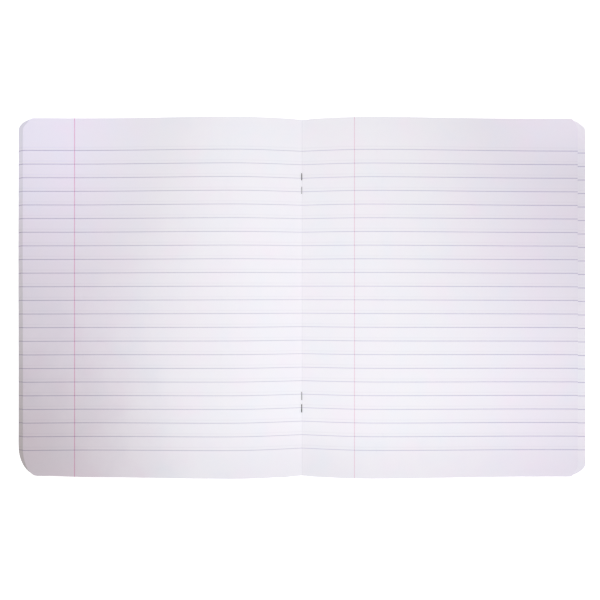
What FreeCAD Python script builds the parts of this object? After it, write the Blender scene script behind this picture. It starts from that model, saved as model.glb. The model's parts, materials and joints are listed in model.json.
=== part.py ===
import FreeCAD, Part
import os

# An open composition notebook lying face up on a table, in millimetres.
# X runs across the spread with the fold at zero, Y runs up the pages, and Z is up from the table.

# Cover card
COVER_WIDTH = 203.2
COVER_HEIGHT = 254.0
COVER_THICKNESS = 0.4

# Leaves of one half, as they lie pressed together in the fold
LEAF_COUNT = 50
LEAF_THICKNESS = 0.085

# Arch of the pages: heights above the bottom of the valley between them
VALLEY_SLOPE = 0.2
CREST_DISTANCE = 50.0
LEFT_CREST_RISE = 7.5
LEFT_SAG_RISE = 4.4
LEFT_SAG_FROM_EDGE = 40.0
LEFT_EDGE_RISE = 5.2
RIGHT_CREST_RISE = 6.9
RIGHT_SAG_RISE = 3.1
RIGHT_SAG_FROM_EDGE = 21.0
RIGHT_EDGE_RISE = 3.0

# Fanned leaf edges: how far they stop short of the cover's edge, from the top leaf down
LEFT_TOP_INSET = 5.9
LEFT_FAN_INSET = 1.7
LEFT_FAN_DEPTH = 2.5
RIGHT_TOP_INSET = 7.6
RIGHT_FAN_INSET = 1.0
RIGHT_FAN_DEPTH = 2.5
BOTTOM_INSET = 0.3

# Rounded corners, cut through cover and leaves together; the lower left one is worn further
CORNER_WIDTH = 11.0
CORNER_HEIGHT = 7.5
WORN_CORNER_WIDTH = 16.0
WORN_CORNER_HEIGHT = 20.0

# Staples
WIRE_DIAMETER = 0.55
WIRE_CLEARANCE = 0.05
WIRE_BEND_RADIUS = 0.35
STAPLE_WIDTH = 14.8
UPPER_STAPLE_FROM_TOP = 45.5
UPPER_CLINCH_GAP = 4.9
LOWER_STAPLE_FROM_BOTTOM = 51.75
LOWER_CLINCH_GAP = 3.2

# The spine stands off the table by the staples' wire, and comes down to it on a gentle ramp
SPINE_FLAT_WIDTH = 5.0
SPINE_RAMP_WIDTH = 11.0

# Share of a quarter round's sides that the handles of its curve span
ROUND_HANDLE = 0.5523

# How far a shape that trims another one reaches past it
TRIM_MARGIN = 5.0

HALF_HEIGHT = COVER_HEIGHT / 2
WIRE_RADIUS = WIRE_DIAMETER / 2
SPINE_RISE = WIRE_DIAMETER + 3 * WIRE_CLEARANCE
SPINE_TOP = SPINE_RISE + COVER_THICKNESS
VALLEY_HEIGHT = SPINE_TOP + LEAF_COUNT * LEAF_THICKNESS
ABOVE_ALL = VALLEY_HEIGHT + max(LEFT_CREST_RISE, RIGHT_CREST_RISE) + WIRE_DIAMETER


def line(start, end):
    return Part.LineSegment(start, end).toShape()


def bezier(*poles):
    curve = Part.BezierCurve()
    curve.setPoles(list(poles))
    return curve.toShape()


def swell(start, end, slope=0.0):
    """A smooth rise or fall between two (reach, height) points, level at its far end."""
    third = (end[0] - start[0]) / 3
    steps = [
        start,
        (start[0] + third, start[1] + slope * third),
        (end[0] - third, end[1]),
        end,
    ]
    return bezier(*[FreeCAD.Vector(reach, 0, height) for reach, height in steps])


def extrude_along_page(edges):
    """A closed profile in the XZ plane, carried past both ends of the page."""
    face = Part.Face(Part.Wire(edges))
    face.translate(FreeCAD.Vector(0, -HALF_HEIGHT - TRIM_MARGIN, 0))
    return face.extrude(FreeCAD.Vector(0, COVER_HEIGHT + 2 * TRIM_MARGIN, 0))


def corner(start, tip, end):
    """A quarter round that starts and ends on the two sides that would meet at the tip."""
    return bezier(start, start + (tip - start) * ROUND_HANDLE, end + (tip - end) * ROUND_HANDLE, end)


def outline(reach, height, worn):
    """The outline of one leaf or cover half at a height, from past the fold to its reach."""
    low_width = WORN_CORNER_WIDTH if worn else CORNER_WIDTH
    low_height = WORN_CORNER_HEIGHT if worn else CORNER_HEIGHT
    low = -HALF_HEIGHT
    fold_low = FreeCAD.Vector(-TRIM_MARGIN, low, height)
    round_low = FreeCAD.Vector(COVER_WIDTH - low_width, low, height)
    tip_low = FreeCAD.Vector(reach, low, height)
    edge_low = FreeCAD.Vector(reach, low + low_height, height)
    edge_high = FreeCAD.Vector(reach, HALF_HEIGHT - CORNER_HEIGHT, height)
    tip_high = FreeCAD.Vector(reach, HALF_HEIGHT, height)
    round_high = FreeCAD.Vector(COVER_WIDTH - CORNER_WIDTH, HALF_HEIGHT, height)
    fold_high = FreeCAD.Vector(-TRIM_MARGIN, HALF_HEIGHT, height)
    return Part.Wire(
        [
            line(fold_low, round_low),
            corner(round_low, tip_low, edge_low),
            line(edge_low, edge_high),
            corner(edge_high, tip_high, round_high),
            line(round_high, fold_high),
            line(fold_high, fold_low),
        ]
    )


def spine_profile(lift):
    """The line from the fold past the free edge, above the cover's underside by the lift."""
    ramp_end = SPINE_FLAT_WIDTH + SPINE_RAMP_WIDTH
    fold = FreeCAD.Vector(0, 0, SPINE_RISE + lift)
    flat_end = FreeCAD.Vector(SPINE_FLAT_WIDTH, 0, SPINE_RISE + lift)
    table = FreeCAD.Vector(ramp_end, 0, lift)
    edge = FreeCAD.Vector(COVER_WIDTH + TRIM_MARGIN, 0, lift)
    ramp = swell((SPINE_FLAT_WIDTH, SPINE_RISE + lift), (ramp_end, lift))
    return [line(fold, flat_end), ramp, line(table, edge)]


def staple_wire(middle, clinch_gap, radius):
    """A bent wire: its crown lies under the spine, its ends are clinched over the valley."""
    leg = STAPLE_WIDTH / 2 - WIRE_RADIUS
    crown_height = WIRE_CLEARANCE + WIRE_RADIUS
    clinch_height = VALLEY_HEIGHT + WIRE_CLEARANCE + WIRE_RADIUS
    bend = WIRE_BEND_RADIUS
    turn = bend * (1 - 0.5 ** 0.5)

    def at(across, height):
        return FreeCAD.Vector(0, middle + across, height)

    def bend_arc(start, halfway, end):
        return Part.Arc(start, halfway, end).toShape()

    path = Part.Wire(
        [
            line(at(clinch_gap / 2, clinch_height), at(leg - bend, clinch_height)),
            bend_arc(
                at(leg - bend, clinch_height),
                at(leg - turn, clinch_height - turn),
                at(leg, clinch_height - bend),
            ),
            line(at(leg, clinch_height - bend), at(leg, crown_height + bend)),
            bend_arc(
                at(leg, crown_height + bend),
                at(leg - turn, crown_height + turn),
                at(leg - bend, crown_height),
            ),
            line(at(leg - bend, crown_height), at(bend - leg, crown_height)),
            bend_arc(
                at(bend - leg, crown_height),
                at(turn - leg, crown_height + turn),
                at(-leg, crown_height + bend),
            ),
            line(at(-leg, crown_height + bend), at(-leg, clinch_height - bend)),
            bend_arc(
                at(-leg, clinch_height - bend),
                at(turn - leg, clinch_height - turn),
                at(bend - leg, clinch_height),
            ),
            line(at(bend - leg, clinch_height), at(-clinch_gap / 2, clinch_height)),
        ]
    )
    end = Part.Circle(at(clinch_gap / 2, clinch_height), FreeCAD.Vector(0, 1, 0), radius)
    return path.makePipeShell([Part.Wire(end.toShape())], True, False)


def staple_holes(middle):
    """The two holes that a staple's legs stand in."""
    leg = STAPLE_WIDTH / 2 - WIRE_RADIUS
    radius = WIRE_RADIUS + WIRE_CLEARANCE
    up = FreeCAD.Vector(0, 0, 1)
    feet = [FreeCAD.Vector(0, middle + across, 0) for across in (-leg, leg)]
    return [Part.makeCylinder(radius, ABOVE_ALL, foot, up) for foot in feet]


def cover(worn, holes):
    """Half of the cover card, with its share of the raised spine, right of the fold."""
    under = spine_profile(0)
    over = spine_profile(COVER_THICKNESS)
    fold = line(over[0].Vertexes[0].Point, under[0].Vertexes[0].Point)
    edge = line(under[-1].Vertexes[-1].Point, over[-1].Vertexes[-1].Point)
    card = extrude_along_page(under + [edge] + over[::-1] + [fold])
    plan = Part.Face(outline(COVER_WIDTH, -TRIM_MARGIN, worn))
    plan = plan.extrude(FreeCAD.Vector(0, 0, ABOVE_ALL + TRIM_MARGIN))
    return card.common(plan).cut(holes)


def page_block(worn, rises, sag_from_edge, top_inset, fan_inset, fan_depth, holes):
    """The leaves of one half as one solid, right of the fold, arched on top and fanned."""
    crest_rise, sag_rise, edge_rise = rises
    top_reach = COVER_WIDTH - top_inset
    bottom_reach = COVER_WIDTH - BOTTOM_INSET
    valley = (0, VALLEY_HEIGHT)
    crest = (CREST_DISTANCE, VALLEY_HEIGHT + crest_rise)
    sag = (top_reach - sag_from_edge, VALLEY_HEIGHT + sag_rise)
    edge = (top_reach, VALLEY_HEIGHT + edge_rise)
    past_edge = FreeCAD.Vector(COVER_WIDTH + TRIM_MARGIN, 0, edge[1])
    fan_reach = COVER_WIDTH - fan_inset
    fan_slant = (fan_reach - top_reach) / fan_depth
    above_reach = top_reach - fan_slant * (ABOVE_ALL - edge[1])
    below = spine_profile(COVER_THICKNESS)
    top = [
        swell(valley, crest, VALLEY_SLOPE),
        swell(crest, sag),
        swell(sag, edge),
        line(FreeCAD.Vector(top_reach, 0, edge[1]), past_edge),
    ]
    fold = line(below[0].Vertexes[0].Point, top[0].Vertexes[0].Point)
    end = line(below[-1].Vertexes[-1].Point, past_edge)
    block = extrude_along_page(below + [end] + top[::-1] + [fold])
    fan = Part.makeLoft(
        [
            outline(bottom_reach, 0, worn),
            outline(fan_reach, edge[1] - fan_depth, worn),
            outline(above_reach, ABOVE_ALL, worn),
        ],
        True,
        True,
    )
    return block.common(fan).cut(holes)


def to_left(shape):
    """The same piece on the other side of the fold."""
    return shape.mirror(FreeCAD.Vector(0, 0, 0), FreeCAD.Vector(1, 0, 0))


def build():
    upper = HALF_HEIGHT - UPPER_STAPLE_FROM_TOP
    lower = LOWER_STAPLE_FROM_BOTTOM - HALF_HEIGHT
    holes = staple_holes(upper) + staple_holes(lower)
    left_block = page_block(
        True,
        (LEFT_CREST_RISE, LEFT_SAG_RISE, LEFT_EDGE_RISE),
        LEFT_SAG_FROM_EDGE,
        LEFT_TOP_INSET,
        LEFT_FAN_INSET,
        LEFT_FAN_DEPTH,
        holes,
    )
    right_block = page_block(
        False,
        (RIGHT_CREST_RISE, RIGHT_SAG_RISE, RIGHT_EDGE_RISE),
        RIGHT_SAG_FROM_EDGE,
        RIGHT_TOP_INSET,
        RIGHT_FAN_INSET,
        RIGHT_FAN_DEPTH,
        holes,
    )
    return {
        "front_cover": to_left(cover(True, holes)),
        "back_cover": cover(False, holes),
        "left_pages": to_left(left_block),
        "right_pages": right_block,
        "upper_staple": staple_wire(upper, UPPER_CLINCH_GAP, WIRE_RADIUS),
        "lower_staple": staple_wire(lower, LOWER_CLINCH_GAP, WIRE_RADIUS),
    }


os.makedirs("parts", exist_ok=True)
for name, shape in build().items():
    shape.exportStep("parts/" + name + ".step")
    box = shape.optimalBoundingBox()
    print(name, len(shape.Solids), "solid", shape.isValid(), round(shape.Volume, 2))
    print("  from", round(box.XMin, 3), round(box.YMin, 3), round(box.ZMin, 3))
    print("  to  ", round(box.XMax, 3), round(box.YMax, 3), round(box.ZMax, 3))
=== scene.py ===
# %% [markdown]
# # An open composition notebook
#
# The real object is a stack of folded sheets, stapled through the fold and held in a folded card.
# This lesson loads the construction model as a frame, and then makes what is seen: every leaf as a
# thin sheet of its own, the ruled print, the bent wires and the card. All lengths are in metres.

# %% Load the frame
import json
import math
import random

import bpy
from mathutils import Matrix, Vector


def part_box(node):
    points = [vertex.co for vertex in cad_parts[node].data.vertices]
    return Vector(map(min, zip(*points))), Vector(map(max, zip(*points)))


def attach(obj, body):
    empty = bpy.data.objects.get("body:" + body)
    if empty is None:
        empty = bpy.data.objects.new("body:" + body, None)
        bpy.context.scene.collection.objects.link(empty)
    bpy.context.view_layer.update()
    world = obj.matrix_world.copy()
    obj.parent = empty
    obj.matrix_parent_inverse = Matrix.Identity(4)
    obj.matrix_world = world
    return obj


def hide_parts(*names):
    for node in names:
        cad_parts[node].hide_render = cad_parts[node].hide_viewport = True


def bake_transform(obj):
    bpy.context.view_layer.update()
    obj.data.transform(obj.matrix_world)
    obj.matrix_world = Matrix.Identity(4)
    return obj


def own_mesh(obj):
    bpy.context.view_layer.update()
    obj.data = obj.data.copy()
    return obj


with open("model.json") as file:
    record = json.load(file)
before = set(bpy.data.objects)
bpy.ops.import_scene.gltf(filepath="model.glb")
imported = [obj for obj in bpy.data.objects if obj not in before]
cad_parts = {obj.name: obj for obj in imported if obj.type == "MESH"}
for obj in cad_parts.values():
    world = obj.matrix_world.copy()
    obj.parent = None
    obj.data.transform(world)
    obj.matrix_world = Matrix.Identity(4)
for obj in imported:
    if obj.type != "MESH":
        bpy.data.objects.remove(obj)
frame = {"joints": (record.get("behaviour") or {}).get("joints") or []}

MM = 0.001
scene = bpy.context.scene
scene.view_settings.view_transform = "Standard"
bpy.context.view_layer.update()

# %% [markdown]
# ## Read the main sizes from the frame
#
# The height of a page, the reach of the card and the crests of the pages are read from the
# construction model, so that what is seen keeps to it. The hinge of the closing book lies at the
# bottom of the valley between the pages. The sizes of the leaves, the spine, the arch and the
# fanned edges can't be read from it, so they are written here once more with the same values.

# %% Main sizes
card_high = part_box("back_cover")[1]
left_low, left_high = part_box("left_pages")
right_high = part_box("right_pages")[1]
hinge = next(joint for joint in frame["joints"] if joint["name"] == "close_book")

HALF_HEIGHT = card_high.y
CARD_REACH = card_high.x
CARD_THICKNESS = left_low.z
VALLEY = hinge["pos_m"][2]
LEAF_COUNT = 50
LEAF_PITCH = 0.085 * MM
LEAF_THICKNESS = 0.9 * LEAF_PITCH
SPINE_FLAT = 5.0 * MM
SPINE_RAMP = 11.0 * MM
SPINE_TOP = VALLEY - LEAF_COUNT * LEAF_PITCH
VALLEY_SLOPE = 0.2
CREST_DISTANCE = 50.0 * MM
print("page height", round(2 * HALF_HEIGHT, 4), "card reach", round(CARD_REACH, 4))
print("valley at", round(VALLEY, 5), "top of the card there", round(SPINE_TOP, 5))


class Half:
    """The sizes in which the two halves of the open notebook differ."""

    def __init__(self, name, side, body, rises, sag_from_edge, insets, swell_phase):
        self.name = name
        self.side = side
        self.body = body
        self.crest, self.sag, self.edge = rises
        top_inset, fan_inset = insets
        self.top_reach = CARD_REACH - top_inset
        self.fan_reach = CARD_REACH - fan_inset
        self.bottom_reach = CARD_REACH - BOTTOM_INSET
        self.sag_distance = self.top_reach - sag_from_edge
        self.swell_phase = swell_phase


FAN_DEPTH = 2.5 * MM
BOTTOM_INSET = 0.3 * MM
LEFT = Half(
    "left", -1, "front_half",
    rises=(left_high.z - VALLEY, 4.4 * MM, 5.2 * MM),
    sag_from_edge=40.0 * MM,
    insets=(5.9 * MM, 1.7 * MM),
    swell_phase=0.7,
)
RIGHT = Half(
    "right", 1, "back_half",
    rises=(right_high.z - VALLEY, 3.1 * MM, 3.0 * MM),
    sag_from_edge=21.0 * MM,
    insets=(7.6 * MM, 1.0 * MM),
    swell_phase=2.1,
)
print("top leaves reach", round(LEFT.top_reach, 4), "left and", round(RIGHT.top_reach, 4), "right")

# %% [markdown]
# ## Put up the camera
#
# The notebook is seen from straight above, from so near that the arched paper looks larger than
# the paper in the fold. A 40 mm lens at under half a metre was chosen because its picture agrees
# with the photo. The picture is 600 by 600, with the fold a little right of its middle. The
# camera's place is worked out from where the fold and the middle of the page come in it.

# %% Camera
PICTURE_SIDE = 600
FOLD_PIXEL_X = 302.1
PAGE_MIDDLE_PIXEL_Y = 297.7
PIXELS_PER_METRE = 1400.4
LENS = 40.0
SENSOR = 36.0
camera_height = PICTURE_SIDE / PIXELS_PER_METRE * LENS / SENSOR
picture_middle = PICTURE_SIDE / 2

camera_data = bpy.data.cameras.new("overhead_camera")
camera_data.lens = LENS
camera_data.sensor_width = SENSOR
camera_data.clip_start = 10 * MM
camera = bpy.data.objects.new("overhead_camera", camera_data)
scene.collection.objects.link(camera)
camera.location = (
    (picture_middle - FOLD_PIXEL_X) / PIXELS_PER_METRE,
    (PAGE_MIDDLE_PIXEL_Y - picture_middle) / PIXELS_PER_METRE,
    VALLEY + camera_height,
)
scene.camera = camera
print("camera stands", round(camera_height, 4), "above the bottom of the valley")

# %% [markdown]
# ## Small helpers for shader nodes
#
# Every material below is built from a few dozen nodes. They could be placed by hand in the shader
# editor. A helper that makes a node, sets its plain values and links its sockets keeps each
# material short enough to read as a recipe.

# %% Node helpers
def node(tree, kind, settings=None, **inputs):
    """A new node. Its inputs are given by name, as sockets to link or as plain values."""
    made = tree.nodes.new(kind)
    for name, value in (settings or {}).items():
        setattr(made, name, value)
    for name, value in inputs.items():
        feed(tree, made.inputs[name.replace("_", " ")], value)
    return made


def feed(tree, socket, value):
    """Links a socket to an input, or sets the input's value."""
    if isinstance(value, bpy.types.NodeSocket):
        tree.links.new(value, socket)
    else:
        socket.default_value = value


def calc(tree, operation, *values, clamp=False):
    """The result of one Math node."""
    made = node(tree, "ShaderNodeMath", {"operation": operation, "use_clamp": clamp})
    for socket, value in zip(made.inputs, values):
        feed(tree, socket, value)
    return made.outputs[0]


def vector_calc(tree, operation, *values):
    """The result of one Vector Math node."""
    made = node(tree, "ShaderNodeVectorMath", {"operation": operation})
    for socket, value in zip(made.inputs, values):
        feed(tree, socket, value)
    return made.outputs["Value" if operation == "LENGTH" else "Vector"]


def blend_colour(tree, share, first, second, mode="MIX"):
    """One colour laid over another by a share."""
    made = node(tree, "ShaderNodeMix", {"data_type": "RGBA", "blend_type": mode})
    feed(tree, made.inputs["Factor"], share)
    feed(tree, made.inputs[6], first)
    feed(tree, made.inputs[7], second)
    return made.outputs[2]


def fading(tree, distance, near, far):
    """One up to the near distance, fading softly to nothing at the far one, or the reverse."""
    return node(
        tree,
        "ShaderNodeMapRange",
        {"interpolation_type": "SMOOTHSTEP"},
        Value=distance,
        From_Min=near,
        From_Max=far,
        To_Min=1.0,
        To_Max=0.0,
    ).outputs["Result"]


def new_group(name, inputs, outputs):
    """An empty node group with named inputs and outputs, and its two end nodes."""
    tree = bpy.data.node_groups.new(name, "ShaderNodeTree")
    for title, kind, value in inputs:
        made = tree.interface.new_socket(title, in_out="INPUT", socket_type=kind)
        if value is not None:
            made.default_value = value
    for title, kind in outputs:
        tree.interface.new_socket(title, in_out="OUTPUT", socket_type=kind)
    return tree, tree.nodes.new("NodeGroupInput").outputs, tree.nodes.new("NodeGroupOutput").inputs


def use_group(tree, group, **inputs):
    """A group placed in a material with values of its own."""
    return node(tree, "ShaderNodeGroup", {"node_tree": group}, **inputs).outputs


def new_material(name):
    """An empty material, its node tree and its Principled shader."""
    made = bpy.data.materials.new(name)
    made.use_nodes = True
    return made, made.node_tree, made.node_tree.nodes["Principled BSDF"]


def printed_place(tree):
    """The place on the paper or the card, in metres, that was stored with the mesh."""
    return node(tree, "ShaderNodeUVMap", {"uv_map": "printed_place"}).outputs["UV"]


def emboss(tree, shader, relief, strength, depth):
    """A fine relief on the surface, from a value that changes over it."""
    bump = node(tree, "ShaderNodeBump", Height=relief, Strength=strength, Distance=depth)
    feed(tree, shader.inputs["Normal"], bump.outputs["Normal"])


def roughen(tree, shader, mask, change, least):
    """A roughness that rises from its least value with a mask."""
    feed(tree, shader.inputs["Roughness"], calc(tree, "MULTIPLY_ADD", mask, change, least))


def sharpened(tree, value, contrast):
    """A value with more contrast about its middle, kept between nothing and one."""
    return calc(tree, "MULTIPLY_ADD", value, contrast, 0.5 - 0.5 * contrast, clamp=True)


# %% [markdown]
# ## Soft light and a white table
#
# How the real notebook was lit isn't known, so the lamp was placed by comparing renders with the
# photo. One long soft box hangs above the camera, a little to the right. Its narrow spread keeps
# the light near the middle of the pages, so that it falls off towards the lower left corner, and
# the pale surroundings fill the rest. The table is white for the camera by a glow of its own, and
# still takes a soft shadow. From below it is clear, so that the notebook's underside can be seen.

# %% Light and table
SOFT_BOX_PLACE = Vector((0.195, 0.047, 1.0))
SOFT_BOX_AIM = Vector((0.037, -0.221, 0.0))
SOFT_BOX_SIDES = (1.0, 0.06)
SOFT_BOX_TURN = -1.345
SOFT_BOX_SPREAD = 0.914
SOFT_BOX_POWER = 0.86
SURROUND_COLOUR = (1.0, 0.985, 1.0, 1.0)
SURROUND_LEVEL = 0.51
TABLE_SIDE = 4.0
TABLE_DROP = 0.05 * MM
TABLE_COLOUR = (0.8, 0.8, 0.8, 1.0)
TABLE_GLOW = 0.65


def seen_directly(tree):
    """One for camera, glossy and transmission rays, which see the surroundings as white."""
    path = tree.nodes.new("ShaderNodeLightPath").outputs
    first = calc(tree, "MAXIMUM", path["Is Camera Ray"], path["Is Glossy Ray"])
    return calc(tree, "MAXIMUM", first, path["Is Transmission Ray"])


def hang_soft_box():
    """A long lamp that shines down at the pages and isn't seen itself."""
    lamp = bpy.data.lights.new("soft_box", "AREA")
    lamp.shape = "RECTANGLE"
    lamp.size, lamp.size_y = SOFT_BOX_SIDES
    lamp.spread = SOFT_BOX_SPREAD
    lamp.energy = SOFT_BOX_POWER
    holder = bpy.data.objects.new("soft_box", lamp)
    scene.collection.objects.link(holder)
    down = (SOFT_BOX_AIM - SOFT_BOX_PLACE).normalized()
    turned = Vector((math.cos(SOFT_BOX_TURN), math.sin(SOFT_BOX_TURN), 0.0))
    across = (turned - down * turned.dot(down)).normalized()
    axes = Matrix((across, (-down).cross(across), -down)).transposed()
    holder.matrix_world = Matrix.Translation(SOFT_BOX_PLACE) @ axes.to_4x4()
    holder.visible_camera = False


def light_surroundings():
    """A pale room: dim as a light, and white where it is looked at."""
    world = bpy.data.worlds.new("pale_room")
    world.use_nodes = True
    scene.world = world
    tree = world.node_tree
    level = calc(tree, "MULTIPLY_ADD", seen_directly(tree), 1.0 - SURROUND_LEVEL, SURROUND_LEVEL)
    feed(tree, tree.nodes["Background"].inputs["Strength"], level)
    colour = blend_colour(tree, seen_directly(tree), SURROUND_COLOUR, (1.0, 1.0, 1.0, 1.0))
    feed(tree, tree.nodes["Background"].inputs["Color"], colour)


def lay_table():
    """A table top that is white from above and clear from below."""
    reach = TABLE_SIDE / 2
    corners = [(-reach, -reach, 0), (reach, -reach, 0), (reach, reach, 0), (-reach, reach, 0)]
    mesh = bpy.data.meshes.new("table_top")
    mesh.from_pydata(corners, [], [(0, 1, 2, 3)])
    table = bpy.data.objects.new("table_top", mesh)
    scene.collection.objects.link(table)
    table.location.z = -TABLE_DROP
    material, tree, shader = new_material("white_table")
    shader.inputs["Base Color"].default_value = TABLE_COLOUR
    shader.inputs["Roughness"].default_value = 0.9
    shader.inputs["Emission Color"].default_value = (1.0, 1.0, 1.0, 1.0)
    glow = calc(tree, "MULTIPLY", seen_directly(tree), TABLE_GLOW)
    feed(tree, shader.inputs["Emission Strength"], glow)
    clear = tree.nodes.new("ShaderNodeBsdfTransparent")
    below = tree.nodes.new("ShaderNodeNewGeometry").outputs["Backfacing"]
    either = tree.nodes.new("ShaderNodeMixShader")
    tree.links.new(below, either.inputs[0])
    tree.links.new(shader.outputs[0], either.inputs[1])
    tree.links.new(clear.outputs[0], either.inputs[2])
    tree.links.new(either.outputs[0], tree.nodes["Material Output"].inputs["Surface"])
    mesh.materials.append(material)


hang_soft_box()
light_surroundings()
lay_table()
print("soft box", round(SOFT_BOX_PLACE.z, 2), "above the table, of", SOFT_BOX_POWER, "watts")

# %% [markdown]
# ## The arch of the pages
#
# Leaves that are held in a fold rise out of it at a slope, go over a crest and sink again towards
# their free edge. That could be sculpted or simulated, but a formula is exact and can be used for
# every leaf: each stretch is a smooth step between two heights, and only the first one starts
# with a slope. The card under the spine has the same kind of step.

# %% Arch formula
def smooth_step(share, start, end, start_slope=0.0):
    """Height between two points, level at the far one. The slope is per whole step."""
    share = min(max(share, 0.0), 1.0)
    towards_end = share * share * (3.0 - 2.0 * share)
    return start + (end - start) * towards_end + start_slope * share * (1.0 - share) ** 2


def page_height(half, reach):
    """Height of the topmost leaf at a distance from the fold."""
    if reach < CREST_DISTANCE:
        slope = VALLEY_SLOPE * CREST_DISTANCE
        return VALLEY + smooth_step(reach / CREST_DISTANCE, 0.0, half.crest, slope)
    if reach < half.sag_distance:
        share = (reach - CREST_DISTANCE) / (half.sag_distance - CREST_DISTANCE)
        return VALLEY + smooth_step(share, half.crest, half.sag)
    share = (reach - half.sag_distance) / (half.top_reach - half.sag_distance)
    return VALLEY + smooth_step(share, half.sag, half.edge)


def card_height(reach):
    """Height of the card's upper face at a distance from the fold."""
    return smooth_step((reach - SPINE_FLAT) / SPINE_RAMP, SPINE_TOP, CARD_THICKNESS)


for half in (LEFT, RIGHT):
    heights = [round(page_height(half, at * MM) / MM, 2) for at in (0, 10, 25, 50, 100, 150, 195)]
    print(half.name, "page heights in mm", heights)

# %% [markdown]
# ## The outline of a leaf
#
# Such a book is usually rounded at its corners in one cut while it is closed. So all leaves start
# their rounding at the same distance from the fold, and a leaf that stops short of the others has
# a narrower corner. A corner is a quarter of a superellipse: a power of two gives a round one, and
# a power near one the straight cut of the leaves on top. The lower left corner is rounder than
# the rest, which looks like wear, and the lower edge runs a little askew towards it. Close to the
# fold the leaves stand out above and below by a hair, and the arch may be what pushes them out.

# %% Corner outline
CORNERS = {
    ("left", "upper"): (12.0 * MM, 7.5 * MM, 1.75, 1.1),
    ("right", "upper"): (11.5 * MM, 7.0 * MM, 1.4, 1.15),
    ("right", "lower"): (12.0 * MM, 7.3 * MM, 1.5, 1.2),
    ("left", "lower"): (16.0 * MM, 20.0 * MM, 2.0, 2.0),
}
CORNER_WIDTH = 16.0 * MM
ASKEW_START = 150.0 * MM
ASKEW_LENGTH = 35.0 * MM
ASKEW_CUT = 1.1 * MM
STAND_OUT = 0.45 * MM
STAND_OUT_RISE = 8.0 * MM
STAND_OUT_END = (45.0 * MM, 130.0 * MM)
COLUMN_CROWDING = 1.3


def corner_cut(reach, edge_reach, corner, flatness):
    """How much a rounded corner takes off the height of the page at a distance from the fold."""
    width, height, power, flat_power = corner
    start = CARD_REACH - width
    share = min(max((reach - start) / (edge_reach - start), 0.0), 1.0)
    power += (flat_power - power) * flatness
    return height * (1.0 - (1.0 - share ** power) ** (1.0 / power))


def page_limits(side, reach, edge_reach, flatness=0.0):
    """Lowest and highest Y of the page at a distance from the fold."""
    half_name = "left" if side < 0 else "right"
    low_cut = corner_cut(reach, edge_reach, CORNERS[half_name, "lower"], flatness)
    high_cut = corner_cut(reach, edge_reach, CORNERS[half_name, "upper"], flatness)
    if side < 0:
        low_cut += smooth_step((reach - ASKEW_START) / ASKEW_LENGTH, 0.0, ASKEW_CUT)
    near, far = STAND_OUT_END
    out = smooth_step(reach / STAND_OUT_RISE, 0.0, STAND_OUT)
    out = smooth_step((reach - near) / (far - near), out, 0.0)
    return low_cut - HALF_HEIGHT - out, HALF_HEIGHT + out - high_cut


def spread_columns(edge_reach, plain_count, corner_count):
    """Distances from the fold at which a page is cut into columns, closer in its corners."""
    start = CARD_REACH - CORNER_WIDTH
    plain = [start * (step / plain_count) ** COLUMN_CROWDING for step in range(plain_count)]
    quarter = math.pi / 2
    turns = [quarter * step / corner_count for step in range(corner_count + 1)]
    return plain + [start + (edge_reach - start) * math.sin(turn) for turn in turns]


# %% [markdown]
# ## One builder for everything flat
#
# A leaf, a folded sheet and the card are all the same kind of body: a thin slab with an upper
# and a lower face and a rim. A solidify modifier would do, but it gives no say over where the
# two faces lie, so the slab is built point by point. It is always a closed mesh. Its texture
# coordinates are the real place on the paper in metres, which stay true when the book closes.
# In the photo the rules slant a little as they leave the fold, so the print is given that slant.

# %% Slab builder
PRINT_SLANT = 0.0028
SHARP_ANGLE = math.radians(40)


class SlabMesh:
    """Collects slabs into one mesh, with the printed place of every point and its share of painted
    strip shading.
    """

    def __init__(self):
        self.points = []
        self.places = []
        self.strip_shading = []
        self.faces = []
        self.kinds = []

    def add(self, columns, limits, top, under, row_count, print_shift=0.0, strip_shading=None):
        """A slab over the columns, from limits(x), with its faces at top(x, y) and under(x, y)."""
        first = len(self.points)
        rows = row_count + 1
        for height in (top, under):
            for x in columns:
                low, high = limits(x)
                for row in range(rows):
                    y = low + (high - low) * row / row_count
                    self.points.append((x, y, height(x, y)))
                    self.places.append((x, y + print_shift + PRINT_SLANT * abs(x)))
                    self.strip_shading.append(strip_shading(x, y) if strip_shading else 0.0)
        lower = first + len(columns) * rows
        forward = columns[-1] > columns[0]
        for column in range(len(columns) - 1):
            for row in range(row_count):
                a = first + column * rows + row
                self._face((a, a + rows, a + rows + 1, a + 1), forward, "top")
                b = lower + column * rows + row
                self._face((b, b + 1, b + rows + 1, b + rows), forward, "under")
        for one, other in self._rim(len(columns), rows):
            ring = (first + one, lower + one, lower + other, first + other)
            self._face(ring, forward, "rim")

    def _rim(self, column_count, rows):
        """Neighbouring pairs of grid points all the way round the outline."""
        last = (column_count - 1) * rows
        loop = [column * rows for column in range(column_count)]
        loop += [last + row for row in range(1, rows)]
        loop += [column * rows + rows - 1 for column in range(column_count - 2, -1, -1)]
        loop += list(range(rows - 2, 0, -1))
        return zip(loop, loop[1:] + loop[:1])

    def _face(self, ring, forward, kind):
        self.faces.append(ring if forward else ring[::-1])
        self.kinds.append(kind)

    def finish(self, name):
        """The object, smooth on its faces and sharp at its rims."""
        mesh = bpy.data.meshes.new(name)
        mesh.from_pydata(self.points, [], self.faces)
        layer = mesh.uv_layers.new(name="printed_place")
        for loop in mesh.loops:
            layer.data[loop.index].uv = self.places[loop.vertex_index]
        # The share of painted strip shading of every point, for the paper's material
        strip_shading = mesh.attributes.new("strip_shading", "FLOAT", "POINT")
        strip_shading.data.foreach_set("value", self.strip_shading)
        mesh.shade_smooth()
        mesh.set_sharp_from_angle(angle=SHARP_ANGLE)
        made = bpy.data.objects.new(name, mesh)
        scene.collection.objects.link(made)
        print(name, len(mesh.vertices), "points", len(mesh.polygons), "faces")
        return made
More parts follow.
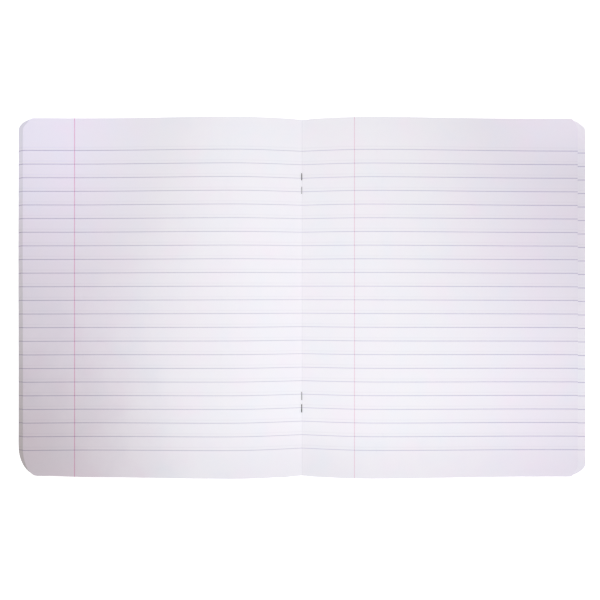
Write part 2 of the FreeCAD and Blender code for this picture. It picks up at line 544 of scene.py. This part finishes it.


# %% [markdown]
# ## The leaves
#
# Each half holds fifty leaves. They touch in the fold and part a little over the crest, by gaps
# that differ from leaf to leaf. Towards the free edge they fan out: on the left evenly, so their
# edges show as a narrow grey band, and on the right in two lots, with a step between them, so
# that a strip of one lower leaf shows. A slight swell along the edge, the same for all leaves,
# keeps them from looking machined. What sticks out from under the top leaf takes painted shading:
# on the left painted shade, which makes the band grey, more so lower down and in the upper corner,
# and on the right painted light, a little lighter than the top leaf. One block with a bump would
# show none of this at its edges, so each leaf is a sheet.

# %% Height and reach of one leaf
PLAIN_COLUMNS = 22
CORNER_COLUMNS = 9
LEAF_ROWS = 8
GAP_SPREAD = 0.7
EDGE_JITTER = 0.12 * MM
PRINT_JITTER = 0.12 * MM
LOWER_LOT_SHIFT = 0.7 * MM
SWELL_HEIGHT = 0.25 * MM
SWELL_LENGTH = 190.0 * MM
# Painted shading on what sticks out from under the top leaf: on the left a painted shade, weaker at
# the top, stronger lower down, and a painted shadow in the upper corner
STRIP_SHADING_START = 1.5 * MM
STRIP_SHADE_AT_TOP = 0.4
CORNER_PAINTED_SHADOW = 0.7
STRIP_SHADE_RISE = 0.6


def gap_shares(random_source):
    """How much of the air in the stack lies below each leaf, from the bottom leaf to the top."""
    parts = [1.0 + random_source.uniform(-GAP_SPREAD, GAP_SPREAD) for _ in range(LEAF_COUNT)]
    total = sum(parts)
    return [sum(parts[: index + 1]) / total for index in range(LEAF_COUNT)]


def swell(half, x, y):
    """The slight wave of the paper, which grows towards the free edge."""
    strength = (abs(x) / CARD_REACH) ** 2
    turn = 2 * math.pi * y / SWELL_LENGTH + half.swell_phase
    return SWELL_HEIGHT * strength * math.sin(turn)


def leaf_height(half, index, share, x, y):
    """Height of the upper face of a leaf."""
    reach = abs(x)
    floor = card_height(reach)
    air = page_height(half, reach) - floor - LEAF_COUNT * LEAF_PITCH
    return floor + (index + 1) * LEAF_PITCH + air * share + swell(half, x, y) * share


def leaf_reach(half, depth, whole_depth):
    """How far a leaf reaches from the fold, by its depth under the top leaf."""
    if depth < FAN_DEPTH:
        share = depth / FAN_DEPTH if half.side < 0 else 0.0
        return half.top_reach + (half.fan_reach - half.top_reach) * share
    share = (depth - FAN_DEPTH) / (whole_depth - FAN_DEPTH)
    return half.fan_reach + (half.bottom_reach - half.fan_reach) * share


def strip_shading_share(half, x, y):
    """How strongly a lower leaf takes painted shading beyond the edge of the top leaf."""
    reach = abs(x)
    low, high = page_limits(half.side, min(reach, half.top_reach), half.top_reach, 1.0)
    is_inside = low + STRIP_SHADING_START < y < high - STRIP_SHADING_START
    if reach < half.top_reach - STRIP_SHADING_START and (is_inside or reach < CARD_REACH - CORNER_WIDTH):
        return 0.0
    # On the right the whole strip takes painted light
    if half.side > 0:
        return 1.0
    # A painted shadow in the upper left corner, under the cut corner of the top leaf
    if y > high - STRIP_SHADING_START and reach > CARD_REACH - CORNER_WIDTH:
        return CORNER_PAINTED_SHADOW
    # Painted shade on the left, stronger lower down
    lower_down = max(0.5 - y / (2 * HALF_HEIGHT), 0.0)
    return STRIP_SHADE_AT_TOP + (1.0 - STRIP_SHADE_AT_TOP) * lower_down ** STRIP_SHADE_RISE


# %% Leaves of the two halves
def make_leaves(half, seed):
    """All leaves of one half as one piece."""
    random_source = random.Random(seed)
    shares = gap_shares(random_source)
    leaves = SlabMesh()
    top_edge = page_height(half, half.top_reach)
    for index, share in enumerate(shares):
        edge = leaf_height(half, index, share, half.side * half.top_reach, 0.0)
        depth = max(top_edge - edge, 0.0)
        reach = leaf_reach(half, depth, top_edge - CARD_THICKNESS)
        is_top = index == LEAF_COUNT - 1
        shift = 0.0
        flatness = 1.0
        if not is_top:
            reach += random_source.uniform(-EDGE_JITTER, EDGE_JITTER)
            shift = random_source.uniform(-PRINT_JITTER, PRINT_JITTER)
            flatness -= min(depth / FAN_DEPTH, 1.0)
        if half.side > 0 and depth >= FAN_DEPTH:
            shift += LOWER_LOT_SHIFT
        columns = [half.side * at for at in spread_columns(reach, PLAIN_COLUMNS, CORNER_COLUMNS)]
        leaves.add(
            columns,
            lambda x: page_limits(half.side, abs(x), reach, flatness),
            lambda x, y: leaf_height(half, index, share, x, y),
            lambda x, y: leaf_height(half, index, share, x, y) - LEAF_THICKNESS,
            LEAF_ROWS,
            shift,
            None if is_top else lambda x, y: strip_shading_share(half, x, y),
        )
    return leaves.finish(half.name + "_leaves")


left_leaves = make_leaves(LEFT, seed=11)
right_leaves = make_leaves(RIGHT, seed=23)

# %% [markdown]
# ## The sheets in the fold
#
# When the book closes, the folded sheets roll round the spine and the arches press flat. A piece
# can't do both, so the rolling part is a second piece: flat folded sheets that lie hidden inside
# the arched leaves while the book is open. They carry the same print, and they are shaped to fill
# the space that the flattened arches would leave in the closed book. They thicken a little towards
# the free edge, because the covers still gape by a degree when closed.

# %% Folded sheets
SHEET_COUNT = 16
SHEET_INSET = 0.25 * MM
SHEET_CLEARANCE = 0.1 * MM
SHEET_GAP_SHARE = 0.12
SHEET_PLAIN_COLUMNS = 10
SHEET_CORNER_COLUMNS = 7
SHEET_ROWS = 4
SPINE_COLUMNS = 40
SPINE_MARGIN = 1.2
CLOSED_ANGLE = math.radians(hinge["range_deg"][1])
CLOSED_GAPE = math.tan((math.pi - CLOSED_ANGLE) / 2)


def two_sided_columns(left_reach, right_reach, plain_count, corner_count):
    """Columns from one free edge to the other, close together where the spine bends."""
    sides = []
    for reach in (left_reach, right_reach):
        outer = spread_columns(reach, plain_count, corner_count)
        sides.append([at for at in outer if at > SPINE_FLAT * SPINE_MARGIN])
    steps = [step / SPINE_COLUMNS * 2 - 1 for step in range(SPINE_COLUMNS + 1)]
    middle = [step * SPINE_FLAT for step in steps]
    return [-at for at in reversed(sides[0])] + middle + sides[1]


def folded_height(share, x):
    """Height in the flat stack, at a share of the way from the card to the closed middle."""
    floor = card_height(abs(x)) + SHEET_CLEARANCE
    gape = CLOSED_GAPE * max(abs(x) - SPINE_FLAT, 0.0)
    return floor + (VALLEY - SHEET_CLEARANCE + gape - floor) * share


def folded_reach(half, share):
    """How far a flat sheet can reach and stay hidden among the arched leaves."""
    edge = page_height(half, half.top_reach)
    depth = edge - folded_height(share, half.top_reach)
    return leaf_reach(half, depth - SHEET_INSET, edge - CARD_THICKNESS) - SHEET_INSET


def make_folded_sheets():
    """All flat folded sheets as one piece."""
    sheets = SlabMesh()
    for index in range(SHEET_COUNT):
        bottom = index / SHEET_COUNT
        top = (index + 1 - SHEET_GAP_SHARE) / SHEET_COUNT
        reaches = {half.side: folded_reach(half, top) for half in (LEFT, RIGHT)}

        def limits(x):
            side = -1 if x < 0 else 1
            low, high = page_limits(side, abs(x), reaches[side])
            return low + SHEET_INSET, high - SHEET_INSET

        sheets.add(
            two_sided_columns(reaches[-1], reaches[1], SHEET_PLAIN_COLUMNS, SHEET_CORNER_COLUMNS),
            limits,
            lambda x, y: folded_height(top, x),
            lambda x, y: folded_height(bottom, x),
            SHEET_ROWS,
        )
    return sheets.finish("folded_sheets")


folded_sheets = make_folded_sheets()

# %% [markdown]
# ## The card
#
# The cover is one card, folded round the sheets. The photo shows nothing of it, so it is plain.
# Two hinged boards would be simpler, but it is made as one piece, folded across the spine. Its
# upper face and its rim are bare board, and its outer face is coated.

# %% Cover card
CARD_PLAIN_COLUMNS = 24
CARD_CORNER_COLUMNS = 12
CARD_ROWS = 6


def make_card():
    """The cover card, and the slab that knows which of its faces are upper, lower or rim."""
    card = SlabMesh()
    card.add(
        two_sided_columns(CARD_REACH, CARD_REACH, CARD_PLAIN_COLUMNS, CARD_CORNER_COLUMNS),
        lambda x: page_limits(-1 if x < 0 else 1, abs(x), CARD_REACH),
        lambda x, y: card_height(abs(x)),
        lambda x, y: card_height(abs(x)) - CARD_THICKNESS,
        CARD_ROWS,
    )
    return card, card.finish("cover_card")


card_slab, cover_card = make_card()

# %% [markdown]
# ## The staples
#
# A staple is one bent wire. Its crown lies outside the spine, its legs stand in the fold, and its
# ends are clinched towards each other over the valley, a hair left of the fold line, where they
# show as two short dashes. In each staple the end nearer to the middle of the page is bright, as a
# painted reflection of the bright surroundings, and the other is dark. The wire is swept point by
# point along its path, because a curve's bevel has no rounded ends, and each point notes whether
# it takes the painted reflection.

# %% Path of a staple
WIRE_RADIUS = 0.275 * MM
WIRE_CLEARANCE = 0.05 * MM
BEND_RADIUS = 0.35 * MM
BEND_STEPS = 5
OFF_FOLD = -0.3 * MM
CLINCH_GAPS = {"upper_staple": 4.9 * MM, "lower_staple": 3.2 * MM}
UPWARDS = {"upper_staple": 0.0, "lower_staple": 0.7 * MM}
# The end of each staple that takes a painted reflection of the bright surroundings
REFLECTING_LEG = {"upper_staple": -1, "lower_staple": 1}


def staple_path(low, high, gap):
    """The middle line of the wire, from one clinched end round to the other."""
    bottom = WIRE_CLEARANCE + WIRE_RADIUS
    top = VALLEY + WIRE_CLEARANCE + WIRE_RADIUS
    middle = (low + high) / 2
    corners = [
        (gap / 2, top),
        (high - middle - WIRE_RADIUS, top),
        (high - middle - WIRE_RADIUS, bottom),
        (low - middle + WIRE_RADIUS, bottom),
        (low - middle + WIRE_RADIUS, top),
        (-gap / 2, top),
    ]
    path = [Vector((OFF_FOLD, middle + corners[0][0], top))]
    for before, here, after in zip(corners, corners[1:], corners[2:]):
        path += bend_points(before, here, after, middle)
    path.append(Vector((OFF_FOLD, middle + corners[-1][0], top)))
    return path


def bend_points(before, here, after, middle):
    """A quarter turn of the wire about one corner of its path."""
    arrive = (Vector(here) - Vector(before)).normalized()
    leave = (Vector(after) - Vector(here)).normalized()
    start = Vector(here) - arrive * BEND_RADIUS
    centre = start + leave * BEND_RADIUS
    points = []
    for step in range(BEND_STEPS + 1):
        turn = math.pi / 2 * step / BEND_STEPS
        flat = centre - leave * BEND_RADIUS * math.cos(turn) + arrive * BEND_RADIUS * math.sin(turn)
        points.append(Vector((OFF_FOLD, middle + flat.x, flat.y)))
    return points


# %% Sweeping the wire
WIRE_SIDES = 14
TIP_LENGTH = 0.6 * WIRE_RADIUS
TIP_RINGS = ((TIP_LENGTH, 0.45), (TIP_LENGTH * 0.6, 0.8))


def sweep_wire(name, path, is_reflecting):
    """A round wire along a path, with rounded ends, that notes where it takes a painted reflection.
    """
    start = (path[0] - path[1]).normalized()
    end = (path[-1] - path[-2]).normalized()
    stations = [(path[0] + start * out, width) for out, width in TIP_RINGS]
    stations += [(point, 1.0) for point in path]
    stations += [(path[-1] + end * out, width) for out, width in reversed(TIP_RINGS)]
    points = []
    for index, (place, width) in enumerate(stations):
        before = stations[max(index - 1, 0)][0]
        after = stations[min(index + 1, len(stations) - 1)][0]
        along = (after - before).normalized()
        sideways = Vector((1.0, 0.0, 0.0))
        sideways = (sideways - along * along.x).normalized()
        outward = along.cross(sideways)
        for side in range(WIRE_SIDES):
            turn = 2 * math.pi * side / WIRE_SIDES
            spoke = sideways * math.cos(turn) + outward * math.sin(turn)
            points.append(place + spoke * WIRE_RADIUS * width)
    faces = [tuple(range(WIRE_SIDES))[::-1]]
    for ring in range(len(stations) - 1):
        for side in range(WIRE_SIDES):
            one = ring * WIRE_SIDES + side
            other = ring * WIRE_SIDES + (side + 1) % WIRE_SIDES
            faces.append((one, other, other + WIRE_SIDES, one + WIRE_SIDES))
    last = (len(stations) - 1) * WIRE_SIDES
    faces.append(tuple(range(last, last + WIRE_SIDES)))
    mesh = bpy.data.meshes.new(name)
    mesh.from_pydata(points, [], faces)
    mesh.shade_smooth()
    # Where the painted reflection goes
    painted_reflection = mesh.attributes.new("painted_reflection", "FLOAT", "POINT")
    painted_reflection.data.foreach_set("value", [float(is_reflecting(point)) for point in points])
    made = bpy.data.objects.new(name, mesh)
    scene.collection.objects.link(made)
    return made


# %% Both staples
def make_staple(name):
    """One staple, in the place of the construction model's but for its small move upwards."""
    low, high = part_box(name)
    low.y += UPWARDS[name]
    high.y += UPWARDS[name]
    middle = (low.y + high.y) / 2
    path = staple_path(low.y, high.y, CLINCH_GAPS[name])
    print(name, "from", round(low.y, 4), "to", round(high.y, 4))
    return sweep_wire(
        name + "_wire",
        path,
        lambda point: point.z > VALLEY and (point.y - middle) * REFLECTING_LEG[name] > 0,
    )


upper_wire = make_staple("upper_staple")
lower_wire = make_staple("lower_staple")

# %% [markdown]
# ## What the materials share
#
# Paper, board, coating and wire are all a little uneven, and both pages have the same print, the
# same tone with its painted shade, and patches of painted light and shade of the same kind. Each
# of these effects is a node group, built once and placed in every material that needs it with
# values of its own. The groups only put out masks and colours, and what is done with them is
# settled in the material.

# %% Node group for the ruled print
RULE_FIRST = 22.45 * MM
RULE_SPACING = 9.633 * MM
RULE_COUNT = 23


def make_print_group():
    """Masks for the rules and for the margin line, from the place on the paper."""
    tree, given, result = new_group(
        "ruled_print",
        [
            ("Place", "NodeSocketVector", None),
            ("Line Width", "NodeSocketFloat", 0.4 * MM),
            ("Line Softness", "NodeSocketFloat", 0.08 * MM),
            ("Margin Place", "NodeSocketFloat", 36.0 * MM),
        ],
        [("Rules", "NodeSocketFloat"), ("Margin", "NodeSocketFloat")],
    )
    place = node(tree, "ShaderNodeSeparateXYZ", Vector=given["Place"]).outputs
    first_rule = HALF_HEIGHT - RULE_FIRST
    below_first = calc(tree, "SUBTRACT", first_rule, place["Y"])
    step = calc(tree, "ROUND", calc(tree, "DIVIDE", below_first, RULE_SPACING))
    step = calc(tree, "MINIMUM", calc(tree, "MAXIMUM", step, 0.0), RULE_COUNT - 1.0)
    nearest = calc(tree, "MULTIPLY", step, RULE_SPACING)
    from_rule = calc(tree, "ABSOLUTE", calc(tree, "SUBTRACT", below_first, nearest))
    from_margin = calc(tree, "ABSOLUTE", calc(tree, "SUBTRACT", place["X"], given["Margin Place"]))
    half_width = calc(tree, "MULTIPLY", given["Line Width"], 0.5)
    outer = calc(tree, "ADD", half_width, given["Line Softness"])
    for title, distance in (("Rules", from_rule), ("Margin", from_margin)):
        feed(tree, result[title], fading(tree, distance, half_width, outer))
    return tree


# %% Node group for the ink that the paper took
INK_AT_FOLD = 0.63
INK_GAIN = 2.2
INK_FIBRES = 0.6
INK_LEAST = 0.65


def make_ink_group():
    """How much ink the lines have: uneven along the fibres, and for the rules less near the fold."""
    tree, given, result = new_group(
        "ink_cover",
        [("Place", "NodeSocketVector", None), ("Fibres", "NodeSocketFloat", 0.5)],
        [("Rules", "NodeSocketFloat"), ("Margin", "NodeSocketFloat")],
    )
    uneven = calc(tree, "MULTIPLY_ADD", given["Fibres"], INK_FIBRES, INK_LEAST, clamp=True)
    across = node(tree, "ShaderNodeSeparateXYZ", Vector=given["Place"]).outputs["X"]
    from_fold = calc(tree, "ABSOLUTE", across)
    inked = calc(tree, "MULTIPLY_ADD", from_fold, INK_GAIN, INK_AT_FOLD, clamp=True)
    feed(tree, result["Rules"], calc(tree, "MULTIPLY", uneven, inked))
    feed(tree, result["Margin"], uneven)
    return tree


# %% Node group for fibres and clouds
FIBRE_STRETCH = (0.45, 1.0, 1.0)
TINT_OFFSET = (0.37, 0.11, 0.59)


def make_fibre_group():
    """Large clouds, a second set of them for tints, and fine fibres."""
    tree, given, result = new_group(
        "fibres",
        [
            ("Vector", "NodeSocketVector", None),
            ("Cloud Scale", "NodeSocketFloat", 60.0),
            ("Fibre Scale", "NodeSocketFloat", 2500.0),
        ],
        [("Clouds", "NodeSocketFloat"), ("Fibres", "NodeSocketFloat"), ("Tint", "NodeSocketFloat")],
    )
    clouds = node(tree, "ShaderNodeTexNoise", Vector=given["Vector"], Scale=given["Cloud Scale"],
                  Detail=3.0, Roughness=0.6)
    moved = vector_calc(tree, "ADD", given["Vector"], TINT_OFFSET)
    tint = node(tree, "ShaderNodeTexNoise", Vector=moved, Scale=given["Cloud Scale"],
                Detail=1.0, Roughness=0.5)
    stretched = vector_calc(tree, "MULTIPLY", given["Vector"], FIBRE_STRETCH)
    fibres = node(tree, "ShaderNodeTexNoise", Vector=stretched, Scale=given["Fibre Scale"],
                  Detail=4.0, Roughness=0.65, Distortion=0.6)
    feed(tree, result["Clouds"], clouds.outputs["Fac"])
    feed(tree, result["Tint"], tint.outputs["Fac"])
    feed(tree, result["Fibres"], fibres.outputs["Fac"])
    return tree


# %% Node group for the tone of the paper and its painted shade
PAPER = (0.89, 0.88, 0.92, 1.0)
PAPER_BLUISH = (0.865, 0.875, 0.925, 1.0)
PAPER_PINKISH = (0.90, 0.86, 0.92, 1.0)
CLOUD_CONTRAST = 3.0
# Painted shade: darker and more violet towards the free edge, where the light falls off
EDGE_PAINTED_SHADE = (0.985, 0.945, 1.0, 1.0)
EDGE_SHADE_START = 70.0 * MM
EDGE_SHADE_END = 190.0 * MM
CREASE_WIDTH = 0.5 * MM
CREASE_SHADE = (0.93, 0.93, 0.94, 1.0)


def make_tone_and_shade_group():
    """Clouds of cool white, with painted shade towards the free edge and in the crease of the fold.
    """
    tree, given, result = new_group(
        "paper_tone_and_shade",
        [
            ("Place", "NodeSocketVector", None),
            ("Clouds", "NodeSocketFloat", 0.5),
            ("Tint", "NodeSocketFloat", 0.5),
        ],
        [("Colour", "NodeSocketColor")],
    )
    across = node(tree, "ShaderNodeSeparateXYZ", Vector=given["Place"]).outputs["X"]
    from_fold = calc(tree, "ABSOLUTE", across)
    pinkish = sharpened(tree, given["Tint"], CLOUD_CONTRAST)
    plain = sharpened(tree, given["Clouds"], CLOUD_CONTRAST)
    colour = blend_colour(tree, pinkish, PAPER_BLUISH, PAPER_PINKISH)
    colour = blend_colour(tree, plain, colour, PAPER)
    # Painted shade towards the free edge
    edge_shade_share = fading(tree, from_fold, EDGE_SHADE_END, EDGE_SHADE_START)
    colour = blend_colour(tree, edge_shade_share, colour, EDGE_PAINTED_SHADE, "MULTIPLY")
    crease = fading(tree, from_fold, 0.0, CREASE_WIDTH)
    feed(tree, result["Colour"], blend_colour(tree, crease, colour, CREASE_SHADE, "MULTIPLY"))
    return tree


# %% Node group for a soft oval patch
PATCH_WOBBLE = 0.15


def make_patch_group():
    """A mask that is one at the centre of an oval and fades to nothing at its reach."""
    tree, given, result = new_group(
        "oval_patch",
        [
            ("Place", "NodeSocketVector", None),
            ("Centre", "NodeSocketVector", None),
            ("Reach", "NodeSocketVector", (1.0, 1.0, 1.0)),
            ("Clouds", "NodeSocketFloat", 0.5),
        ],
        [("Mask", "NodeSocketFloat")],
    )
    from_centre = vector_calc(tree, "SUBTRACT", given["Place"], given["Centre"])
    distance = vector_calc(tree, "LENGTH", vector_calc(tree, "DIVIDE", from_centre, given["Reach"]))
    wobble = calc(tree, "MULTIPLY_ADD", given["Clouds"], PATCH_WOBBLE, -0.5 * PATCH_WOBBLE)
    uneven = calc(tree, "ADD", distance, wobble)
    feed(tree, result["Mask"], fading(tree, uneven, 0.0, 1.0))
    return tree


# %% Build the groups
print_group = make_print_group()
ink_group = make_ink_group()
fibre_group = make_fibre_group()
tone_and_shade_group = make_tone_and_shade_group()
patch_group = make_patch_group()
for group in (print_group, ink_group, fibre_group, tone_and_shade_group, patch_group):
    print("node group", group.name, "with", len(group.nodes), "nodes")

# %% [markdown]
# ## Paper
#
# Writing paper is a slightly cool white with a faint clouding and hardly any gloss. The rules are
# blue-violet ink, paler near the fold, and the margin line is pink. Both let the paper through,
# and the print on the back of a leaf shows very faintly a little above each rule. The margin line
# stands at the left of each page, so the two halves need it at different distances from the fold.
# The pages are greyer at the rounded lower left corner, along the left side and at the lower edge,
# and lighter in the upper corners and along the right side. This is painted shade where the light
# falls off and painted light where it falls more strongly. Each place is a soft oval patch here,
# whose tone is below one for painted shade and above one for painted light. A painted image would
# do the same, but patches keep the paper sharp at any distance.

# %% Values of the two papers
LEFT_RULE_INK = (0.55, 0.522, 0.638, 1.0)
RIGHT_RULE_INK = (0.558, 0.523, 0.673, 1.0)
LEFT_MARGIN_INK = (0.86, 0.40, 0.61, 1.0)
RIGHT_MARGIN_INK = (0.89, 0.65, 0.75, 1.0)
LEFT_MARGIN = -161.0 * MM
RIGHT_MARGIN = 36.9 * MM
GHOST_OFFSET = (0.0, -2.2 * MM, 0.0)
GHOST_SOFTNESS = 0.5 * MM
GHOST_INK = (0.97, 0.97, 0.975, 1.0)
# Painted shade for the grey band of fanned edges on the left, painted light for the strip on the
# right
PAINTED_STRIP_SHADE = (0.82, 0.84, 0.785, 1.0)
PAINTED_STRIP_LIGHT = (1.03, 1.045, 1.02, 1.0)

# Each patch: its centre and its reach in millimetres, and its tone, painted shade below one and
# painted light above one
# Painted shade at the rounded lower left corner, along the left side and at the lower edge, painted
# light in the upper left corner
LEFT_SHADING_PATCHES = {
    "shaded lower corner": ((-203, -127), (143, 143), (0.75, 0.715, 0.69, 1.0)),
    "lit upper corner": ((-203, 127), (120, 142), (1.27, 1.32, 1.37, 1.0)),
    "shaded side": ((-203, 91), (155, 260), (0.892, 0.866, 0.865, 1.0)),
    "lower edge": ((5, -127), (205, 44), (0.928, 0.927, 0.936, 1.0)),
}
# Painted light in the upper right corner and along the right side, painted shade at the lower edge
RIGHT_SHADING_PATCHES = {
    "lit upper corner": ((203, 127), (86, 43), (1.145, 1.147, 1.15, 1.0)),
    "lit side": ((203, -48), (168, 95), (1.07, 1.09, 1.07, 1.0)),
    "lower edge": ((5, -127), (260, 43), (0.92, 0.915, 0.922, 1.0)),
}


# %% Paper materials
def print_rules(tree, place, fibres, colour, rule_ink, margin_place, margin_ink):
    """The rules and the margin line, and the faint rules that show through from the back."""
    moved = vector_calc(tree, "ADD", place, GHOST_OFFSET)
    ghost = use_group(tree, print_group, Place=moved, Line_Softness=GHOST_SOFTNESS)
    lines = use_group(tree, print_group, Place=place, Margin_Place=margin_place)
    cover = use_group(tree, ink_group, Place=place, Fibres=fibres["Fibres"])
    rules = calc(tree, "MULTIPLY", lines["Rules"], cover["Rules"])
    margin = calc(tree, "MULTIPLY", lines["Margin"], cover["Margin"])
    colour = blend_colour(tree, ghost["Rules"], colour, GHOST_INK, "MULTIPLY")
    colour = blend_colour(tree, rules, colour, rule_ink, "MULTIPLY")
    return blend_colour(tree, margin, colour, margin_ink, "MULTIPLY")


def lay_shading_patch(tree, place, fibres, colour, patch):
    """One soft oval patch of painted shading over the paper and its print."""
    centre, reach, tone_and_shading = patch
    mask = use_group(
        tree,
        patch_group,
        Place=place,
        Centre=(centre[0] * MM, centre[1] * MM, 0.0),
        Reach=(reach[0] * MM, reach[1] * MM, 1.0),
        Clouds=fibres["Clouds"],
    )["Mask"]
    return blend_colour(tree, mask, colour, tone_and_shading, "MULTIPLY")


def make_paper(name, patches, strip_shading_tone, rule_ink, margin_place, margin_ink):
    """Ruled paper of one half, from its tone up to the patches of painted shading that lie over the
    print.
    """
    material, tree, shader = new_material(name)
    place = printed_place(tree)
    fibres = use_group(tree, fibre_group, Vector=place, Cloud_Scale=45.0)
    tone_and_shading = use_group(tree, tone_and_shade_group, Place=place, Clouds=fibres["Clouds"], Tint=fibres["Tint"])
    colour = print_rules(tree, place, fibres, tone_and_shading["Colour"], rule_ink, margin_place, margin_ink)
    # Painted shade on the left's fanned edges and painted light on the right's strip
    strip_shading = node(tree, "ShaderNodeAttribute", {"attribute_name": "strip_shading"}).outputs["Fac"]
    colour = blend_colour(tree, strip_shading, colour, strip_shading_tone, "MULTIPLY")
    # Patches of painted light and painted shade over the print
    for patch in patches.values():
        colour = lay_shading_patch(tree, place, fibres, colour, patch)
    feed(tree, shader.inputs["Base Color"], colour)
    emboss(tree, shader, fibres["Fibres"], strength=0.25, depth=0.02 * MM)
    roughen(tree, shader, fibres["Fibres"], change=0.12, least=0.72)
    shader.inputs["Specular IOR Level"].default_value = 0.25
    print(name, "with", len(patches), "patches and its margin line at", round(margin_place, 4))
    return material


left_paper = make_paper("left_page_paper", LEFT_SHADING_PATCHES, PAINTED_STRIP_SHADE, LEFT_RULE_INK,
                        LEFT_MARGIN, LEFT_MARGIN_INK)
right_paper = make_paper("right_page_paper", RIGHT_SHADING_PATCHES, PAINTED_STRIP_LIGHT, RIGHT_RULE_INK,
                         RIGHT_MARGIN, RIGHT_MARGIN_INK)
left_leaves.data.materials.append(left_paper)
right_leaves.data.materials.append(right_paper)

# %% [markdown]
# ## Card
#
# The photo doesn't show the card. Its outside is made as a plain dark coating with a faint grain,
# a little duller and paler in places, and the inside and the cut edge as bare grey-white board.
# A printed pattern would be usual, but nothing says which. The slab notes which of its faces are
# upper, lower or rim, and the two materials are given out by that.

# %% Card materials
COATING = (0.035, 0.037, 0.043, 1.0)
COATING_WORN = (0.075, 0.077, 0.085, 1.0)
BOARD = (0.70, 0.69, 0.70, 1.0)
BOARD_SHADE = (0.62, 0.60, 0.60, 1.0)


def make_coating():
    material, tree, shader = new_material("dark_card_coating")
    place = printed_place(tree)
    fibres = use_group(tree, fibre_group, Vector=place, Cloud_Scale=25.0, Fibre_Scale=900.0)
    worn = calc(tree, "MULTIPLY", fibres["Clouds"], fibres["Fibres"])
    feed(tree, shader.inputs["Base Color"], blend_colour(tree, worn, COATING, COATING_WORN))
    emboss(tree, shader, fibres["Fibres"], strength=0.35, depth=0.05 * MM)
    roughen(tree, shader, worn, change=0.3, least=0.5)
    shader.inputs["Specular IOR Level"].default_value = 0.2
    return material


def make_board():
    material, tree, shader = new_material("bare_board")
    place = printed_place(tree)
    fibres = use_group(tree, fibre_group, Vector=place, Cloud_Scale=90.0, Fibre_Scale=1500.0)
    shade = blend_colour(tree, fibres["Clouds"], BOARD_SHADE, BOARD)
    feed(tree, shader.inputs["Base Color"], shade)
    emboss(tree, shader, fibres["Fibres"], strength=0.3, depth=0.03 * MM)
    shader.inputs["Roughness"].default_value = 0.85
    return material


# %% Materials of the card and of the folded sheets
cover_card.data.materials.append(make_board())
cover_card.data.materials.append(make_coating())
for face, kind in zip(cover_card.data.polygons, card_slab.kinds):
    face.material_index = 1 if kind == "under" else 0

folded_sheets.data.materials.append(left_paper)
folded_sheets.data.materials.append(right_paper)
for face in folded_sheets.data.polygons:
    face.material_index = 0 if face.center.x < 0 else 1
coated = sum(kind == "under" for kind in card_slab.kinds)
print("card faces with coating", coated, "and bare", len(card_slab.kinds) - coated)

# %% [markdown]
# ## Wire
#
# Staple wire is drawn steel. It is dark but for two bright ends, which are a painted reflection.
# Fine streaks along the wire and a slight unevenness are all that can be seen of it besides. They
# could be left out at this size, but the wire would look like plastic up close.

# %% Wire material
WIRE_DARK = (0.075, 0.073, 0.074, 1.0)
WIRE_DULL = (0.045, 0.043, 0.043, 1.0)
# Painted reflection of the bright surroundings on one end of each staple
WIRE_PAINTED_REFLECTION = (0.26, 0.26, 0.27, 1.0)
STREAK_STRETCH = (1.0, 0.15, 0.15)


def make_wire_steel():
    material, tree, shader = new_material("drawn_steel_wire")
    place = node(tree, "ShaderNodeTexCoord").outputs["Object"]
    along = vector_calc(tree, "MULTIPLY", place, STREAK_STRETCH)
    streaks = node(tree, "ShaderNodeTexNoise", Vector=along, Scale=9000.0, Detail=2.0)
    dull = use_group(tree, fibre_group, Vector=place, Cloud_Scale=400.0, Fibre_Scale=3000.0)
    # Painted reflection on the bright end of each staple
    painted_reflection = node(tree, "ShaderNodeAttribute", {"attribute_name": "painted_reflection"}).outputs["Fac"]
    colour = blend_colour(tree, dull["Clouds"], WIRE_DULL, WIRE_DARK)
    feed(tree, shader.inputs["Base Color"], blend_colour(tree, painted_reflection, colour, WIRE_PAINTED_REFLECTION))
    emboss(tree, shader, streaks.outputs["Fac"], strength=0.2, depth=0.01 * MM)
    roughen(tree, shader, streaks.outputs["Fac"], change=0.2, least=0.28)
    shader.inputs["Metallic"].default_value = 1.0
    return material


wire_steel = make_wire_steel()
for wire in (upper_wire, lower_wire):
    wire.data.materials.append(wire_steel)
    print(wire.name, len(wire.data.vertices), "points", len(wire.data.polygons), "faces")

# %% [markdown]
# ## Fasten the leaves to the frame
#
# The arched leaves ride on their half. They could fold one by one, but the book has one hinge.
# The card, the folded sheets and the staples are baked in place, and a table gives each of them a
# slot name and a blend reach, a very wide one for the staples, which nothing here uses. A staple
# doesn't bend.

# %% Fastening the leaves
BEND_REACH = 3.0 * MM
STAPLE_BLEND_REACH = 60.0 * MM

for half, piece in ((LEFT, left_leaves), (RIGHT, right_leaves)):
    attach(piece, half.body)
    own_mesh(piece)
    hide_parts(half.name + "_pages")

bending = {
    folded_sheets: ("ruled_paper", BEND_REACH),
    cover_card: ("cover_card", BEND_REACH),
    upper_wire: ("staple_wire", STAPLE_BLEND_REACH),
    lower_wire: ("staple_wire", STAPLE_BLEND_REACH),
}
for piece, (slot_name, reach) in bending.items():
    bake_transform(piece)
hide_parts("front_cover", "back_cover")
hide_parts("upper_staple")
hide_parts("lower_staple")
